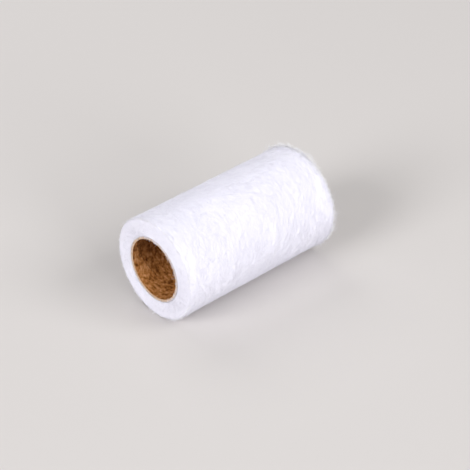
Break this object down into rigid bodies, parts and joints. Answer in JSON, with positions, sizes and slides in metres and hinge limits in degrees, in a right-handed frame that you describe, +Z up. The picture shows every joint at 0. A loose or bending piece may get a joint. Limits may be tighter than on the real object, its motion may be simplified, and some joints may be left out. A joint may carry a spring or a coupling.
{
  "type": "roll of tree guard web",
  "caption": "Roll of white fibrous nonwoven web wound on a thin spiral paper core, used as a wrap around young trunks; its loose end unrolls.",
  "frame": {"origin": "on the resting surface, under the middle of the roll", "axes": "+X along the roll's axis, away from the near end; +Z up; +Y towards the side that the loose end unrolls to"},
  "size_m": [0.1134, 0.0637, 0.0633],
  "materials": {
    "kraft_paper": "matte brown kraft board with darker mottles",
    "clear_tape": "thin matt adhesive strip",
    "white_fleece": "white nonwoven fleece of fine curly filaments"
  },
  "bodies": {
    "roll": {"core_ply_1": "kraft_paper", "core_ply_2": "kraft_paper", "core_ply_3": "kraft_paper", "core_ply_4": "kraft_paper", "start_tape": "clear_tape", "web_wound": "white_fleece"},
    "tail_1": {"tail_1": "white_fleece"},
    "tail_2": {"tail_2": "white_fleece"},
    "tail_3": {"tail_3": "white_fleece"},
    "tail_4": {"tail_4": "white_fleece"},
    "tail_5": {"tail_5": "white_fleece"},
    "tail_6": {"tail_6": "white_fleece"}
  },
  "joints": [
    {"name": "tail_unroll", "type": "hinge", "parent": "roll", "child": "tail_1", "pos_m": [0, 0.00554, 0.00028], "axis": [-1, 0, 0], "range_deg": [0, 18]},
    {"name": "tail_bend_2", "type": "hinge", "parent": "tail_1", "child": "tail_2", "pos_m": [0, 0.01598, 0.00408], "axis": [-1, 0, 0], "range_deg": [0, 19.4]},
    {"name": "tail_bend_3", "type": "hinge", "parent": "tail_2", "child": "tail_3", "pos_m": [0, 0.02449, 0.01123], "axis": [-1, 0, 0], "range_deg": [0, 19.4]},
    {"name": "tail_bend_4", "type": "hinge", "parent": "tail_3", "child": "tail_4", "pos_m": [0, 0.03005, 0.02085], "axis": [-1, 0, 0], "range_deg": [0, 19.4]},
    {"name": "tail_bend_5", "type": "hinge", "parent": "tail_4", "child": "tail_5", "pos_m": [0, 0.03198, 0.0318], "axis": [-1, 0, 0], "range_deg": [0, 19.4]},
    {"name": "tail_bend_6", "type": "hinge", "parent": "tail_5", "child": "tail_6", "pos_m": [0, 0.03005, 0.04274], "axis": [-1, 0, 0], "range_deg": [0, 19.4]}
  ],
  "couplings": [
    {"joint": "tail_bend_2", "follows": "tail_unroll", "ratio": 1.0722},
    {"joint": "tail_bend_3", "follows": "tail_unroll", "ratio": 1.0722},
    {"joint": "tail_bend_4", "follows": "tail_unroll", "ratio": 1.0722},
    {"joint": "tail_bend_5", "follows": "tail_unroll", "ratio": 1.0722},
    {"joint": "tail_bend_6", "follows": "tail_unroll", "ratio": 1.0722}
  ]
}
